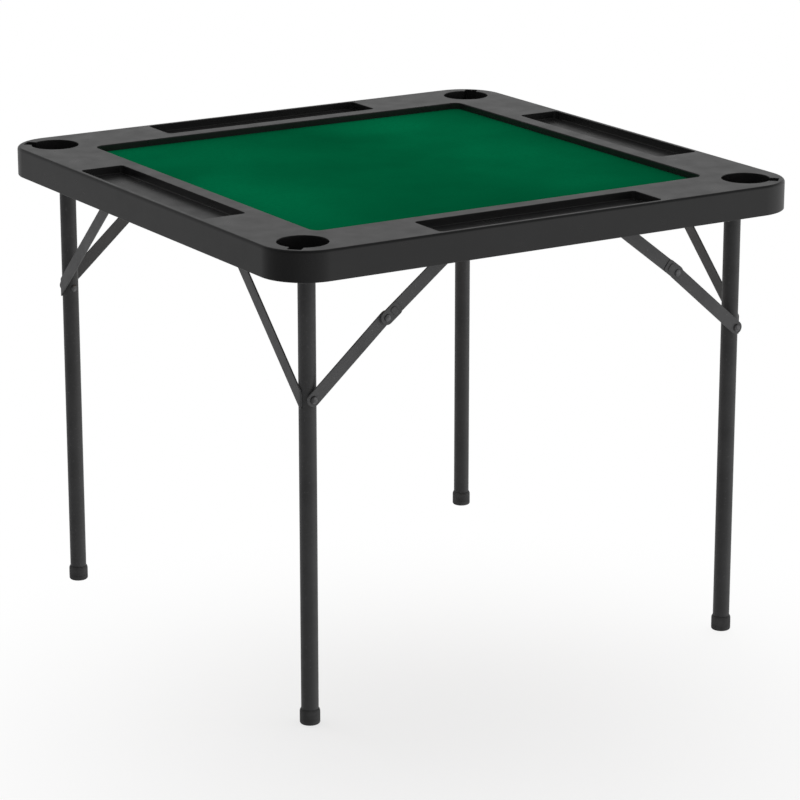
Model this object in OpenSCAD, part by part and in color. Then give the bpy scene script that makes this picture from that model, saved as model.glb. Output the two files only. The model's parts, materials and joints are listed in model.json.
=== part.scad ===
// Folding square game table: a moulded rim with four cup wells and four trays
// round a felt playing surface, on two tube leg frames that fold flat under it.
// Front is -Y, left is -X, and the floor is z = 0.

/* [Top] */
// Length of each side of the square top
top_w = 889; // [860:1:920]
// Height of the rim above the floor
top_z = 716; // [716:1:740]
// Height of the rim's outer skirt
skirt_h = 44.7; // [40:0.1:50]
// Radius of the top's corners, seen from above
corner_r = 70; // [66:1:76]
// Radius of the rim's upper outside edge
edge_r = 4.5; // [3:0.5:5]
// Wall thickness of the moulding
skin = 3; // [2.6:0.1:3]

/* [Playing surface] */
// Side of the square recess that holds the felt
felt_w = 676; // [660:1:678]
// Corner radius of that recess
felt_r = 14; // [12:1:20]
// Depth of the felt below the rim
felt_drop = 10; // [8:0.5:12]
// Thickness of the felt
felt_t = 1.2; // [1:0.1:2]
// Thickness of the board under the felt
board_t = 6; // [5:0.5:8]

/* [Trays and cups] */
// Length of a tray
tray_l = 384; // [340:1:400]
// Distance from the table's centre to a tray's inner wall
tray_in = 363; // [360:0.5:366]
// Width of a tray, from its inner wall to its outer wall
tray_w = 73; // [68:0.5:73]
// Depth of a tray
tray_h = 12; // [10:0.5:16]
// Corner radius of a tray
tray_r = 7; // [4:1:12]
// Radius of a cup well
cup_r = 37.6; // [34:0.1:38]
// Distance from the table's centre lines to a cup well's centre
cup_at = 383; // [380:1:385]
// Depth of a cup well
cup_h = 27; // [20:0.5:27]
// Width of the mug-handle notch in a cup well's wall
notch_w = 22; // [16:1:24]
// Length of the notch beyond the cup well's wall
notch_l = 12; // [8:0.1:13]
// Depth of the notch
notch_h = 20; // [14:0.5:24]

/* [Leg frames] */
// Distance from the table's centre lines to a leg's axis
leg_at = 370; // [369:0.5:371]
// Outside radius of the leg and crossbar tube
tube_r = 12.7; // [12:0.1:12.7]
// Wall thickness of the tube
tube_t = 1.2; // [1:0.1:1.5]
// Radius of a foot cap
foot_r = 14.85; // [14:0.05:14.85]
// Height of a foot cap
foot_h = 23; // [18:1:28]
// Height of the left frame's fold axis
left_pivot_z = 668; // [667:0.5:668]
// Height of the right frame's fold axis
right_pivot_z = 665; // [664:0.5:665]
// Distance that the right frame's fold axis lies inside its legs
right_inset = 28; // [28:0.5:30]
// Height of the legs' top ends above the fold axes
leg_over = 9; // [7:0.5:9]

/* [Braces] */
// Width of the flat bars
bar_w = 20; // [18:0.5:20]
// Thickness of the flat bars
bar_t = 2.5; // [2:0.1:2.5]
// Height of the folding braces' rivets on the legs
rivet_z = 488; // [484:1:492]
// Inward distance from the left legs to their braces' upper pins
left_pin_run = 215; // [214:0.5:217]
// Height of the left braces' upper pins
left_pin_z = 665; // [664:0.5:666]
// Inward distance from the right legs to their braces' upper pins
right_pin_run = 224; // [223:0.5:225]
// Height of the right braces' upper pins
right_pin_z = 672; // [671:0.5:673]
// Length of the right braces' lower links, between rivets
right_lower_l = 154.3; // [154:0.1:155]
// Angle by which an open knee stands past straight
over_centre = 3.5; // [2:0.1:4]
// Height at which the fixed struts' centre lines meet the legs
strut_z = 492; // [490:1:500]
// Rise over run of the fixed struts
strut_slope = 0.975; // [0.9:0.005:1.05]

/* [Hidden] */

$fn = 64;
LEFT = -1;
RIGHT = 1;
FRONT = -1;
REAR = 1;
ENDS = [FRONT, REAR];
SIDES = [LEFT, RIGHT];

rim_colour = [0.13, 0.13, 0.135];
felt_colour = [0.0, 0.33, 0.18];
steel_colour = [0.10, 0.10, 0.105];
bar_colour = [0.20, 0.20, 0.205];
rubber_colour = [0.06, 0.06, 0.06];
board_colour = [0.55, 0.42, 0.28];
zinc_colour = [0.6, 0.6, 0.6];

// heights of the top's layers
skirt_z = top_z - skirt_h;
felt_z = top_z - felt_drop;
board_z = felt_z - felt_t - board_t;
rib_z = top_z - 30;
rail_top = top_z - 34;
slack = 0.5;       // gap round the board and felt
ledge_w = 20;      // width of the ledge that carries the board
edge_steps = 10;
rib_t = 2.4;
rib_places = [60, 150];
cup_floor_t = 2.7;
boss_r = 5;

// the two rails under the top
rail_y = 395;      // inner face of the web
rail_t = 2;
rail_l = 796;
flange_w = 24;
web_h = 22;
screw_y = 409;
screw_places = [-347, -150, 0, 150, 347];
screw_r = 2;
screw_l = 9;
screw_head_r = 4.5;

// layers of the folding braces, measured outward from the table's middle
fit = 0.05;        // radial clearance of a pin in its hole
lower_y = 385.4;
upper_y = lower_y + bar_t + 0.5;
plate_y = upper_y + bar_t;
plate_t = 1.2;
plate_w = 21;
plate_r = 5;       // corners of the plate's upper end
plate_fore = 25;   // length of the knee plate above the knee
strut_wrap = 20;   // angle round the leg over which a strut's end is formed
pin_r = 3;
bolt_r = 4;
head_r = 5.5;      // heads and spacers of the pins and rivets
inner_head_t = 1.8;
rivet_head_r = 5.75;
rivet_head_h = 3;
sleeve_r = 7;      // sleeves, nuts and heads of the pivot bolts
nut_r = 6.5;
nut_t = 6;
bolt_head_r = 8;
bolt_head_h = 3.5;
push_fit = 0.02;   // radial clearance of the feet and plugs on the tubes
gap = 0.3;         // gap between a sleeve or spacer and the piece beside it
through = 1;       // how far a cut runs past the face it opens
weld_gap = 0.1;    // gap filled by the weld between joined tubes and plates

// plate and sleeve of the right frame's pivot brackets
bracket_t = 3;
bracket_w = 16;
bracket_sleeve_t = 2.6;

// folding geometry in each frame's own plane: [inward distance from the leg, height]
rivet_at = [0, rivet_z];
left_pin = [left_pin_run, left_pin_z];
right_pin = [right_pin_run, right_pin_z];
left_rivet_folded = [left_pivot_z - rivet_z, left_pivot_z];
// the left links lie on one line when folded, which fixes both lengths
left_chord = norm(left_pin - rivet_at);
left_offset = norm(left_pin - left_rivet_folded);
left_sum = sqrt(pow(left_chord, 2) - pow(left_offset * sin(over_centre / 2), 2)) / cos(over_centre / 2);
left_lower_l = (left_sum + left_offset) / 2;
left_upper_l = (left_sum - left_offset) / 2;
right_chord = norm(right_pin - rivet_at);
right_upper_l = sqrt(pow(right_chord, 2) - pow(right_lower_l * sin(over_centre), 2))
    - right_lower_l * cos(over_centre);

function pin_of(side) = side == LEFT ? left_pin : right_pin;
function lower_l(side) = side == LEFT ? left_lower_l : right_lower_l;
function upper_l(side) = side == LEFT ? left_upper_l : right_upper_l;
function pivot_z(side) = side == LEFT ? left_pivot_z : right_pivot_z;
function inset(side) = side == LEFT ? 0 : right_inset;
function chord(side) = norm(pin_of(side) - rivet_at);
function chord_angle(side) = atan2(pin_of(side)[1] - rivet_z, pin_of(side)[0]);
function lower_angle(side) = chord_angle(side) + asin(upper_l(side) * sin(over_centre) / chord(side));
function knee(side) = rivet_at + lower_l(side) * [cos(lower_angle(side)), sin(lower_angle(side))];
function upper_angle(side) = lower_angle(side) - over_centre;

// --- placing ---

// Models the left front corner, and mirrors it to the corner asked for
module corner(side, end) {
    mirror([side == RIGHT ? 1 : 0, 0, 0])
        mirror([0, end == REAR ? 1 : 0, 0])
            children();
}

// Puts the origin on the left front leg's plane: x inward, y outward from y_out, z up
module on_plane(point, y_out) {
    translate([point[0] - leg_at, -y_out, point[1]])
        rotate([90, 0, 0])
            children();
}

// --- plain shapes ---

module rounded_square(w, d, r) {
    square([w - 2 * r, d], center = true);
    square([w, d - 2 * r], center = true);
    for (x = SIDES, y = ENDS)
        translate([x * (w / 2 - r), y * (d / 2 - r)])
            circle(r);
}

module plate(w, d, r, z, h) {
    translate([0, 0, z])
        linear_extrude(h)
            rounded_square(w, d, r);
}

module bar_outline(l, w) {
    translate([0, -w / 2])
        square([l, w]);
    circle(w / 2);
    translate([l, 0])
        circle(w / 2);
}

// A flat bar with rounded ends, and a hole at each end
module flat_bar(l, hole_r) {
    linear_extrude(bar_t)
        difference() {
            bar_outline(l, bar_w);
            circle(hole_r);
            translate([l, 0])
                circle(hole_r);
        }
}

module dome(r, h) {
    ball = (r * r + h * h) / (2 * h);
    intersection() {
        translate([0, 0, h - ball])
            sphere(ball);
        cylinder(r = r + 1, h = h);
    }
}

module leg_tube_space(side, grow) {
    translate([-leg_at, -leg_at, 0])
        cylinder(r = tube_r + grow, h = top_z);
}

module crossbar_space(side, grow) {
    translate([-leg_at, 0, pivot_z(side)])
        rotate([90, 0, 0])
            cylinder(r = tube_r + grow, h = 2 * leg_at, center = true);
}

// --- the moulded top ---

// Section of the slab's outer edge, as far out as its side face at x = out
module edge_section(out) {
    arc = [for (i = [0:edge_steps]) 90 * i / edge_steps];
    polygon(concat(
        [[0, skirt_z], [out, skirt_z]],
        [for (a = arc) [out - edge_r * (1 - cos(a)), top_z - edge_r * (1 - sin(a))]],
        [[0, top_z]]
    ));
}

// The slab with a rounded upper outside edge
module rounded_slab() {
    low = top_w / 2 - corner_r;
    for (turn = [0:90:270])
        rotate(turn) {
            translate([low, low])
                rotate_extrude(angle = 90)
                    edge_section(corner_r);
            translate([0, low])
                rotate([90, 0, 0])
                    linear_extrude(2 * low)
                        edge_section(top_w / 2);
        }
}

module tray_pocket() {
    translate([0, -tray_in - tray_w / 2, 0])
        plate(tray_l, tray_w, tray_r, top_z - tray_h, top_z);
}

// Floor and walls of a tray, out to the skirt
module tray_box() {
    inner = tray_in - skin;
    w = top_w / 2 - skin / 2 - inner;
    translate([0, -inner - w / 2, 0])
        plate(tray_l + 2 * skin, w, tray_r + skin, top_z - tray_h - skin, tray_h + skin / 2);
}

module cup_pocket(grow, z, notch_z) {
    translate([-cup_at, -cup_at, 0]) {
        translate([0, 0, z])
            cylinder(r = cup_r + grow, h = top_z - z);
        rotate(225)
            translate([0, -notch_w / 2 - grow, notch_z])
                cube([cup_r + notch_l + grow, notch_w + 2 * grow, top_z - notch_z]);
    }
}

module ribs() {
    reach = top_w / 2 - skin / 2;
    from = felt_w / 2 + skin / 2;
    for (turn = [0:90:270], x = SIDES, p = concat(rib_places, [cup_at]))
        rotate(turn)
            translate([x * p - rib_t / 2, from, rib_z])
                cube([rib_t, reach - from, top_z - skin / 2 - rib_z]);
}

module screw_bosses() {
    for (end = ENDS, x = screw_places)
        translate([x, end * screw_y, rail_top])
            cylinder(r = boss_r, h = top_z - skin / 2 - rail_top);
}

// Skin, skirt and the walls of every pocket, before the pockets are cut
module rim_solid() {
    difference() {
        rounded_slab();
        plate(
            top_w - 2 * skin, top_w - 2 * skin, corner_r - skin,
            skirt_z - through, skirt_h + through - skin
        );
    }
    plate(felt_w + 2 * skin, felt_w + 2 * skin, felt_r + skin, rib_z, top_z - rib_z - skin / 2);
    ribs();
    screw_bosses();
    for (turn = [0:90:270])
        rotate(turn) {
            tray_box();
            intersection() {
                cup_pocket(skin, top_z - cup_h - cup_floor_t, top_z - notch_h - skin);
                plate(top_w - skin, top_w - skin, corner_r - skin / 2, rib_z, top_z - rib_z - skin / 2);
            }
        }
}

module rim_frame() {
    opening = felt_w - 2 * ledge_w;
    color(rim_colour)
        difference() {
            rim_solid();
            plate(felt_w, felt_w, felt_r, board_z, top_z);
            plate(felt_w, felt_w, felt_r, rib_z - through, board_z - skin - rib_z + through);
            plate(opening, opening, felt_r / 2, rib_z - through, top_z);
            for (turn = [0:90:270])
                rotate(turn) {
                    tray_pocket();
                    cup_pocket(0, top_z - cup_h, top_z - notch_h);
                }
            for (end = ENDS, x = screw_places)
                translate([x, end * screw_y, rail_top - through])
                    cylinder(r = screw_r + fit, h = screw_l - rail_t + 2 * through);
        }
}

module playing_board() {
    w = felt_w - 2 * slack;
    color(board_colour)
        plate(w, w, felt_r - slack, board_z, board_t);
}

module felt_cloth() {
    w = felt_w - 2 * slack;
    color(felt_colour)
        plate(w, w, felt_r - slack, felt_z - felt_t, felt_t);
}

// --- what is fixed under the top ---

module rail(end) {
    color(steel_colour)
        mirror([0, end == REAR ? 1 : 0, 0])
            difference() {
                union() {
                    translate([-rail_l / 2, -rail_y - rail_t, rail_top - web_h])
                        cube([rail_l, rail_t, web_h]);
                    translate([-rail_l / 2, -rail_y - flange_w, rail_top - rail_t])
                        cube([rail_l, flange_w, rail_t]);
                }
                for (side = SIDES)
                    mirror([side == RIGHT ? 1 : 0, 0, 0]) {
                        on_plane([inset(side), pivot_z(side)], rail_y - through)
                            cylinder(r = bolt_r + fit, h = rail_t + 2 * through);
                        on_plane(pin_of(side), rail_y - through)
                            cylinder(r = pin_r + fit, h = rail_t + 2 * through);
                    }
                for (x = screw_places)
                    translate([x, -screw_y, rail_top - rail_t - through])
                        cylinder(r = screw_r + fit, h = rail_t + 2 * through);
            }
}

module rail_screws() {
    color(zinc_colour)
        for (end = ENDS, x = screw_places)
            translate([x, end * screw_y, rail_top - rail_t]) {
                cylinder(r = screw_r, h = screw_l);
                mirror([0, 0, 1])
                    dome(screw_head_r, 2);
            }
}

// One bolt of a fold axis: head outside the rail, sleeve inside it, nut past the steel
module pivot_bolt(side) {
    bracket_y = leg_at + tube_r + gap;
    sleeve_y = side == LEFT ? bracket_y : bracket_y + bracket_t + weld_gap;
    nut_y = side == LEFT ? leg_at - tube_r - nut_t - 2 : bracket_y - nut_t - 0.7;
    on_plane([inset(side), pivot_z(side)], nut_y) {
        cylinder(r = bolt_r, h = rail_y + rail_t - nut_y);
        cylinder(r = nut_r, h = nut_t, $fn = 6);
    }
    on_plane([inset(side), pivot_z(side)], sleeve_y)
        cylinder(r = sleeve_r, h = rail_y - sleeve_y);
    on_plane([inset(side), pivot_z(side)], rail_y + rail_t)
        dome(bolt_head_r, bolt_head_h);
}

module pivot_bolts() {
    color(zinc_colour)
        for (side = SIDES, end = ENDS)
            corner(side, end)
                pivot_bolt(side);
}

module brace_pins() {
    color(zinc_colour)
        for (side = SIDES, end = ENDS)
            corner(side, end) {
                on_plane(pin_of(side), upper_y)
                    cylinder(r = pin_r, h = rail_y + rail_t - upper_y);
                on_plane(pin_of(side), plate_y + gap)
                    cylinder(r = head_r, h = rail_y - plate_y - gap);
                on_plane(pin_of(side), rail_y + rail_t)
                    dome(head_r + 0.5, 2);
            }
}

// --- leg frames ---

module leg(side, end) {
    top = pivot_z(side) + leg_over;
    color(steel_colour)
        corner(side, end)
            difference() {
                translate([-leg_at, -leg_at, skin])
                    cylinder(r = tube_r, h = top - skin);
                translate([-leg_at, -leg_at, 0])
                    cylinder(r = tube_r - tube_t, h = top_z);
                on_plane(rivet_at, leg_at - tube_r - through)
                    cylinder(r = pin_r + fit, h = 2 * (tube_r + through));
                if (side == LEFT)
                    on_plane([0, left_pivot_z], leg_at - tube_r - through)
                        cylinder(r = bolt_r + fit, h = 2 * (tube_r + through));
            }
}

module crossbar(side) {
    color(steel_colour)
        mirror([side == RIGHT ? 1 : 0, 0, 0])
            difference() {
                crossbar_space(side, 0);
                crossbar_space(side, -tube_t);
                for (end = ENDS)
                    mirror([0, end == REAR ? 1 : 0, 0])
                        leg_tube_space(side, weld_gap);
            }
}

// Plate that carries the right frame's fold axis inside its legs, on a sleeve round the leg
module pivot_bracket(end) {
    sleeve_low = right_pivot_z - bracket_w / 2;
    sleeve_high = right_pivot_z + leg_over - 1;
    plate_in = leg_at + tube_r + gap;
    color(steel_colour)
        corner(RIGHT, end)
            difference() {
                union() {
                    translate([-leg_at, -leg_at, sleeve_low])
                        cylinder(r = tube_r + bracket_sleeve_t, h = sleeve_high - sleeve_low);
                    on_plane([0, right_pivot_z], plate_in)
                        linear_extrude(bracket_t)
                            bar_outline(right_inset, bracket_w);
                }
                leg_tube_space(RIGHT, weld_gap);
                crossbar_space(RIGHT, weld_gap);
                on_plane([right_inset, right_pivot_z], plate_in - through)
                    cylinder(r = bolt_r + fit, h = bracket_t + 2 * through);
            }
}

// Flat bar welded across the outer faces of a leg and its crossbar, inclined along Y,
// with its lower end formed round the leg
module strut(side, end) {
    rise = pivot_z(side) - strut_z;
    run = rise / strut_slope;
    inner_r = tube_r + weld_gap;
    tall = 2 * bar_w;
    color(bar_colour)
        corner(side, end)
            translate([-leg_at, -leg_at, strut_z])
                intersection() {
                    union() {
                        translate([-inner_r - bar_t, 0, -tall])
                            cube([bar_t, run + tall, rise + 2 * tall]);
                        translate([0, 0, -tall])
                            rotate([0, 0, 180])
                                rotate_extrude(angle = strut_wrap)
                                    translate([inner_r, 0])
                                        square([bar_t, 2 * tall]);
                    }
                    translate([-inner_r - bar_t - through, 0, 0])
                        rotate([90, 0, 90])
                            linear_extrude(inner_r)
                                rotate([0, 0, atan2(rise, run)])
                                    translate([-bar_w, 0])
                                        bar_outline(norm([rise, run]) + bar_w, bar_w);
                }
}

module leg_rivets(side) {
    head_in = leg_at - tube_r - inner_head_t;
    spacer_in = leg_at + tube_r / 2;
    dome_y = lower_y + bar_t + gap;
    color(zinc_colour)
        for (end = ENDS)
            corner(side, end) {
                on_plane(rivet_at, head_in + through)
                    cylinder(r = pin_r, h = dome_y - head_in);
                difference() {
                    union() {
                        on_plane(rivet_at, head_in)
                            cylinder(r = head_r, h = inner_head_t + through);
                        on_plane(rivet_at, spacer_in)
                            cylinder(r = head_r, h = lower_y - gap / 2 - spacer_in);
                    }
                    leg_tube_space(side, fit);
                }
                on_plane(rivet_at, dome_y)
                    dome(rivet_head_r, rivet_head_h);
            }
}

module foot(side, end) {
    round_r = 3;
    lip = 0.8;
    color(rubber_colour)
        corner(side, end)
            translate([-leg_at, -leg_at, 0])
                difference() {
                    union() {
                        cylinder(r = foot_r - round_r, h = foot_h);
                        translate([0, 0, round_r])
                            rotate_extrude()
                                translate([foot_r - round_r, 0])
                                    circle(round_r);
                        translate([0, 0, round_r])
                            cylinder(r = foot_r, h = foot_h - round_r - lip);
                        translate([0, 0, foot_h - lip])
                            cylinder(r1 = foot_r, r2 = foot_r - lip, h = lip);
                    }
                    translate([0, 0, skin])
                        cylinder(r = tube_r + push_fit, h = foot_h);
                }
}

module leg_plugs(side) {
    top = pivot_z(side) + leg_over;
    inside = 3;
    proud = 0.8;
    color(rubber_colour)
        for (end = ENDS)
            corner(side, end)
                translate([-leg_at, -leg_at, top - inside])
                    cylinder(r = tube_r - tube_t - push_fit, h = inside + proud);
}

// --- folding braces ---

module lower_link(side, end) {
    color(bar_colour)
        corner(side, end)
            on_plane(rivet_at, lower_y)
                rotate([0, 0, lower_angle(side)])
                    flat_bar(lower_l(side), pin_r + fit);
}

module upper_link(side, end) {
    color(bar_colour)
        corner(side, end)
            on_plane(knee(side), upper_y)
                rotate([0, 0, upper_angle(side)])
                    flat_bar(upper_l(side), pin_r + fit);
}

// The half of the knee rivet that stays with the lower link
module knee_rivet(side, end) {
    color(zinc_colour)
        corner(side, end) {
            on_plane(knee(side), lower_y - inner_head_t)
                cylinder(r = head_r, h = inner_head_t);
            on_plane(knee(side), lower_y - through)
                cylinder(r = pin_r, h = bar_t + through);
        }
}

// A round end about the knee, and an upper end with rounded corners
module plate_outline() {
    circle(plate_w / 2);
    translate([0, -plate_w / 2])
        square([plate_fore - plate_r, plate_w]);
    translate([plate_fore - plate_r - 1, plate_r - plate_w / 2])
        square([plate_r + 1, plate_w - 2 * plate_r]);
    for (side = [-1, 1])
        translate([plate_fore - plate_r, side * (plate_w / 2 - plate_r)])
            circle(plate_r);
}

// Stop plate on the upper link, with the outer half of the knee rivet
module knee_plate(side, end) {
    color(steel_colour)
        corner(side, end)
            on_plane(knee(side), plate_y)
                rotate([0, 0, upper_angle(side)]) {
                    linear_extrude(plate_t)
                        plate_outline();
                    translate([0, 0, -bar_t])
                        cylinder(r = pin_r, h = bar_t + through);
                    translate([0, 0, plate_t])
                        dome(head_r - 0.5, inner_head_t);
                }
}

rim_frame();
playing_board();
felt_cloth();
rail(FRONT);  // rail_front
rail(REAR);  // rail_rear
rail_screws();
pivot_bolts();
brace_pins();
leg(LEFT, FRONT);  // leg_left_front
leg(LEFT, REAR);  // leg_left_rear
leg(RIGHT, FRONT);  // leg_right_front
leg(RIGHT, REAR);  // leg_right_rear
crossbar(LEFT);  // crossbar_left
crossbar(RIGHT);  // crossbar_right
pivot_bracket(FRONT);  // pivot_bracket_front
pivot_bracket(REAR);  // pivot_bracket_rear
strut(LEFT, FRONT);  // strut_left_front
strut(LEFT, REAR);  // strut_left_rear
strut(RIGHT, FRONT);  // strut_right_front
strut(RIGHT, REAR);  // strut_right_rear
foot(LEFT, FRONT);  // foot_left_front
foot(LEFT, REAR);  // foot_left_rear
foot(RIGHT, FRONT);  // foot_right_front
foot(RIGHT, REAR);  // foot_right_rear
leg_plugs(LEFT);  // leg_plugs_left
leg_plugs(RIGHT);  // leg_plugs_right
leg_rivets(LEFT);  // leg_rivets_left
leg_rivets(RIGHT);  // leg_rivets_right
lower_link(LEFT, FRONT);  // lower_link_left_front
lower_link(LEFT, REAR);  // lower_link_left_rear
lower_link(RIGHT, FRONT);  // lower_link_right_front
lower_link(RIGHT, REAR);  // lower_link_right_rear
upper_link(LEFT, FRONT);  // upper_link_left_front
upper_link(LEFT, REAR);  // upper_link_left_rear
upper_link(RIGHT, FRONT);  // upper_link_right_front
upper_link(RIGHT, REAR);  // upper_link_right_rear
knee_rivet(LEFT, FRONT);  // knee_rivet_left_front
knee_rivet(LEFT, REAR);  // knee_rivet_left_rear
knee_rivet(RIGHT, FRONT);  // knee_rivet_right_front
knee_rivet(RIGHT, REAR);  // knee_rivet_right_rear
knee_plate(LEFT, FRONT);  // knee_plate_left_front
knee_plate(LEFT, REAR);  // knee_plate_left_rear
knee_plate(RIGHT, FRONT);  // knee_plate_right_front
knee_plate(RIGHT, REAR);  // knee_plate_right_rear
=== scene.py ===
"""Looks of the folding square game table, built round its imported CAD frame.

Lengths are in metres, in the row's frame: front is -Y, left is -X, the floor is z = 0.
"""
import json
import math

import bmesh
import bpy
from mathutils import Matrix, Vector, noise


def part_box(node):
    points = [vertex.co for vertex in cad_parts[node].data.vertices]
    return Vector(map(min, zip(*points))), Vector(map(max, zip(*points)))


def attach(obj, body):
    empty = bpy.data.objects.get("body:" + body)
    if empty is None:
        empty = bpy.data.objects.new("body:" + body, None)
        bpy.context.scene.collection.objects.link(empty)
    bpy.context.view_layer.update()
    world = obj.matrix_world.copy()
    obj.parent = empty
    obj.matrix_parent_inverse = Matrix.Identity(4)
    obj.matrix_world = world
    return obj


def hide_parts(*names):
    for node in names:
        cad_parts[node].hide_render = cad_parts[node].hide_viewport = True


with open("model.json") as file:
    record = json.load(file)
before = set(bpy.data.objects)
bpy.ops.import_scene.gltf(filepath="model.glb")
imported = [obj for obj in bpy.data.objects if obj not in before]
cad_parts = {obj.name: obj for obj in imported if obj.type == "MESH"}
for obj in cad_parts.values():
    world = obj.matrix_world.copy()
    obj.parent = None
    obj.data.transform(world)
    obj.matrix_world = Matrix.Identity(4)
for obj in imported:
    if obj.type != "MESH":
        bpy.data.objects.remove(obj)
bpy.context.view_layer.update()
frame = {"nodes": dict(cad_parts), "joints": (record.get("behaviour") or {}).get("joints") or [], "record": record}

mm = 0.001
SIDES = ("left", "right")
ENDS = ("front", "rear")
CORNERS = [(side, end) for side in SIDES for end in ENDS]
INWARD = {"left": 1, "right": -1}    # sign of X from a leg towards the table's middle
OUTWARD = {"front": -1, "rear": 1}   # sign of Y from the table's middle towards a leg
X, Y, Z = Vector((1, 0, 0)), Vector((0, 1, 0)), Vector((0, 0, 1))
JOINTS = {j["name"]: Vector(j["pos_m"]) for j in frame["joints"]}

# --- sizes that repeat the CAD design ---
TOP_W = 889 * mm
CORNER_R = 70 * mm
EDGE_R = 4.5 * mm
SKIN = 3 * mm
FELT_W = 676 * mm
FELT_R = 14 * mm
LEDGE_W = 20 * mm
LEDGE_DROP = 17.2 * mm       # from the rim to the ledge under the board
RIB_DROP = 30 * mm
RIB_T = 2.4 * mm
RIB_PLACES = (60 * mm, 150 * mm, 383 * mm)
TRAY_L = 384 * mm
TRAY_W = 73 * mm
TRAY_IN = 363 * mm
TRAY_H = 12 * mm
TRAY_R = 7 * mm
CUP_AT = 383 * mm
CUP_R = 37.6 * mm
CUP_H = 27 * mm
CUP_FLOOR_T = 2.7 * mm
NOTCH_W = 22 * mm
NOTCH_L = 12 * mm
NOTCH_H = 20 * mm
BOSS_R = 5 * mm
BOSS_PLACES = (-347 * mm, -150 * mm, 0.0, 150 * mm, 347 * mm)
SCREW_HEAD_R = 4.5 * mm
TUBE_R = 12.7 * mm
TUBE_T = 1.2 * mm
WELD_GAP = 0.1 * mm          # between a leg and what is welded to it
BAR_W = 20 * mm
BAR_T = 2.5 * mm
STRUT_Z = 492 * mm           # where a strut's centre line meets its leg
STRUT_SLOPE = 0.975
STRUT_WRAP = 20              # degrees round the leg
PLATE_W = 21 * mm
PLATE_FORE = 25 * mm
PLATE_R = 5 * mm
PLATE_T = 1.2 * mm
PIN_R = 3 * mm
HEAD_R = 5.5 * mm            # inner heads and spacers of the rivets
INNER_HEAD_H = 1.8 * mm
RIVET_HEAD_R = 5.75 * mm
RIVET_HEAD_H = 3 * mm

# --- the camera ---
CAMERA_AT = (-2.600, -4.186, 1.769)
CAMERA_YAW = math.radians(31.98)      # from +Y towards +X
CAMERA_PITCH = math.radians(16.22)    # below the horizon
CAMERA_LENS = 148
CAMERA_FAR = 60

# --- the studio ---
AWAY = Vector((0.53, 0.848, 0))       # level direction from the room's front to its back
ACROSS = Vector((0.848, -0.53, 0))    # from its left to its right
OVERHEAD_W = 32                       # watts
OVERHEAD_SIDE = 3.4
OVERHEAD_AT = AWAY * 0.8 + Z * 3.4
OVERHEAD_AIM = Vector((0, 0, 0.5))
BACKDROP = 1.02
# the room that surfaces reflect: its level by part of a turn from AWAY, then by height
ROOM_TURN = (
    (0.0, 0.5), (0.18, 0.38), (0.27, 0.14), (0.37, 0.06), (0.5, 0.18),
    (0.63, 0.4), (0.72, 0.72), (0.85, 0.6), (1.0, 0.5),
)
ROOM_UP = ((0.0, 1.0), (0.25, 1.0), (0.32, 0.82), (0.55, 0.33), (1.0, 0.1))
# the light that falls on surfaces: its level from the room's front to its back
SKY = ((0.0, 0.25), (0.5, 0.4), (0.8, 0.85), (1.0, 1.0))
SKY_GAIN = 1.6
FLOOR_PAINTED_SHADE_AT = (-0.3, -0.7, 0)      # the middle of the floor's patch of painted shade in front of the table
FLOOR_PAINTED_SHADE_FADE = (0.1, 1.15)              # where the patch starts to fade, and where it ends
FLOOR_PAINTED_GLOW = 0.64                     # share of painted white glow, as bright as the backdrop, in its middle

rim_low, rim_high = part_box("rim_frame")
TOP_Z = rim_high.z
SKIRT_Z = rim_low.z


def link_new(name, data):
    """A new object in the scene."""
    obj = bpy.data.objects.new(name, data)
    bpy.context.scene.collection.objects.link(obj)
    return obj


def facing(direction):
    """Rotation that turns a camera or a lamp to look along the direction."""
    return direction.to_track_quat("-Z", "Y")


# --- camera ---

def make_camera():
    data = bpy.data.cameras.new("camera")
    data.lens = CAMERA_LENS
    data.sensor_width = 36
    data.clip_end = CAMERA_FAR
    camera = link_new("camera", data)
    bpy.context.scene.camera = camera
    camera.location = CAMERA_AT
    level = math.cos(CAMERA_PITCH)
    look = (math.sin(CAMERA_YAW) * level, math.cos(CAMERA_YAW) * level, -math.sin(CAMERA_PITCH))
    camera.rotation_mode = "QUATERNION"
    camera.rotation_quaternion = facing(Vector(look))


# --- outlines and profiles ---

def rounded_rect(width, depth, radius, steps=12):
    """Points of a rounded rectangle round the origin, counter-clockwise."""
    x, y = width / 2 - radius, depth / 2 - radius
    points = []
    for quarter, (cx, cy) in enumerate(((x, y), (-x, y), (-x, -y), (x, -y))):
        for i in range(steps + 1):
            a = math.radians(90 * (quarter + i / steps))
            points.append((cx + radius * math.cos(a), cy + radius * math.sin(a)))
    return points


def stadium(length, width, steps=14):
    """Points of a bar with round ends, centred on (0, 0) and (length, 0)."""
    points = []
    for cx, start in ((length, -90), (0, 90)):
        for i in range(steps + 1):
            a = math.radians(start + 180 * i / steps)
            points.append((cx + width / 2 * math.cos(a), width / 2 * math.sin(a)))
    return points


def disc(radius, steps=48):
    """Points of a circle round the origin."""
    return [
        (radius * math.cos(2 * math.pi * i / steps), radius * math.sin(2 * math.pi * i / steps))
        for i in range(steps)
    ]


def arc(offset, height, radius, start, end, steps=6):
    """Profile points on an arc round (offset, height), with its angles in degrees."""
    turns = [math.radians(start + (end - start) * i / steps) for i in range(steps + 1)]
    return [(offset + radius * math.cos(a), height + radius * math.sin(a)) for a in turns]


def slab_profile(thick, edge):
    """Profile of a plate from 0 to thick, with both edges rounded."""
    return arc(-edge, edge, edge, -90, 0, 3) + arc(-edge, thick - edge, edge, 0, 90, 3)


def loops_of(outline, profile, place=Matrix()):
    """outline(offset) at each (offset, height) of the profile, put in place."""
    return [[place @ Vector((x, y, h)) for x, y in outline(o)] for o, h in profile]


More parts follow.
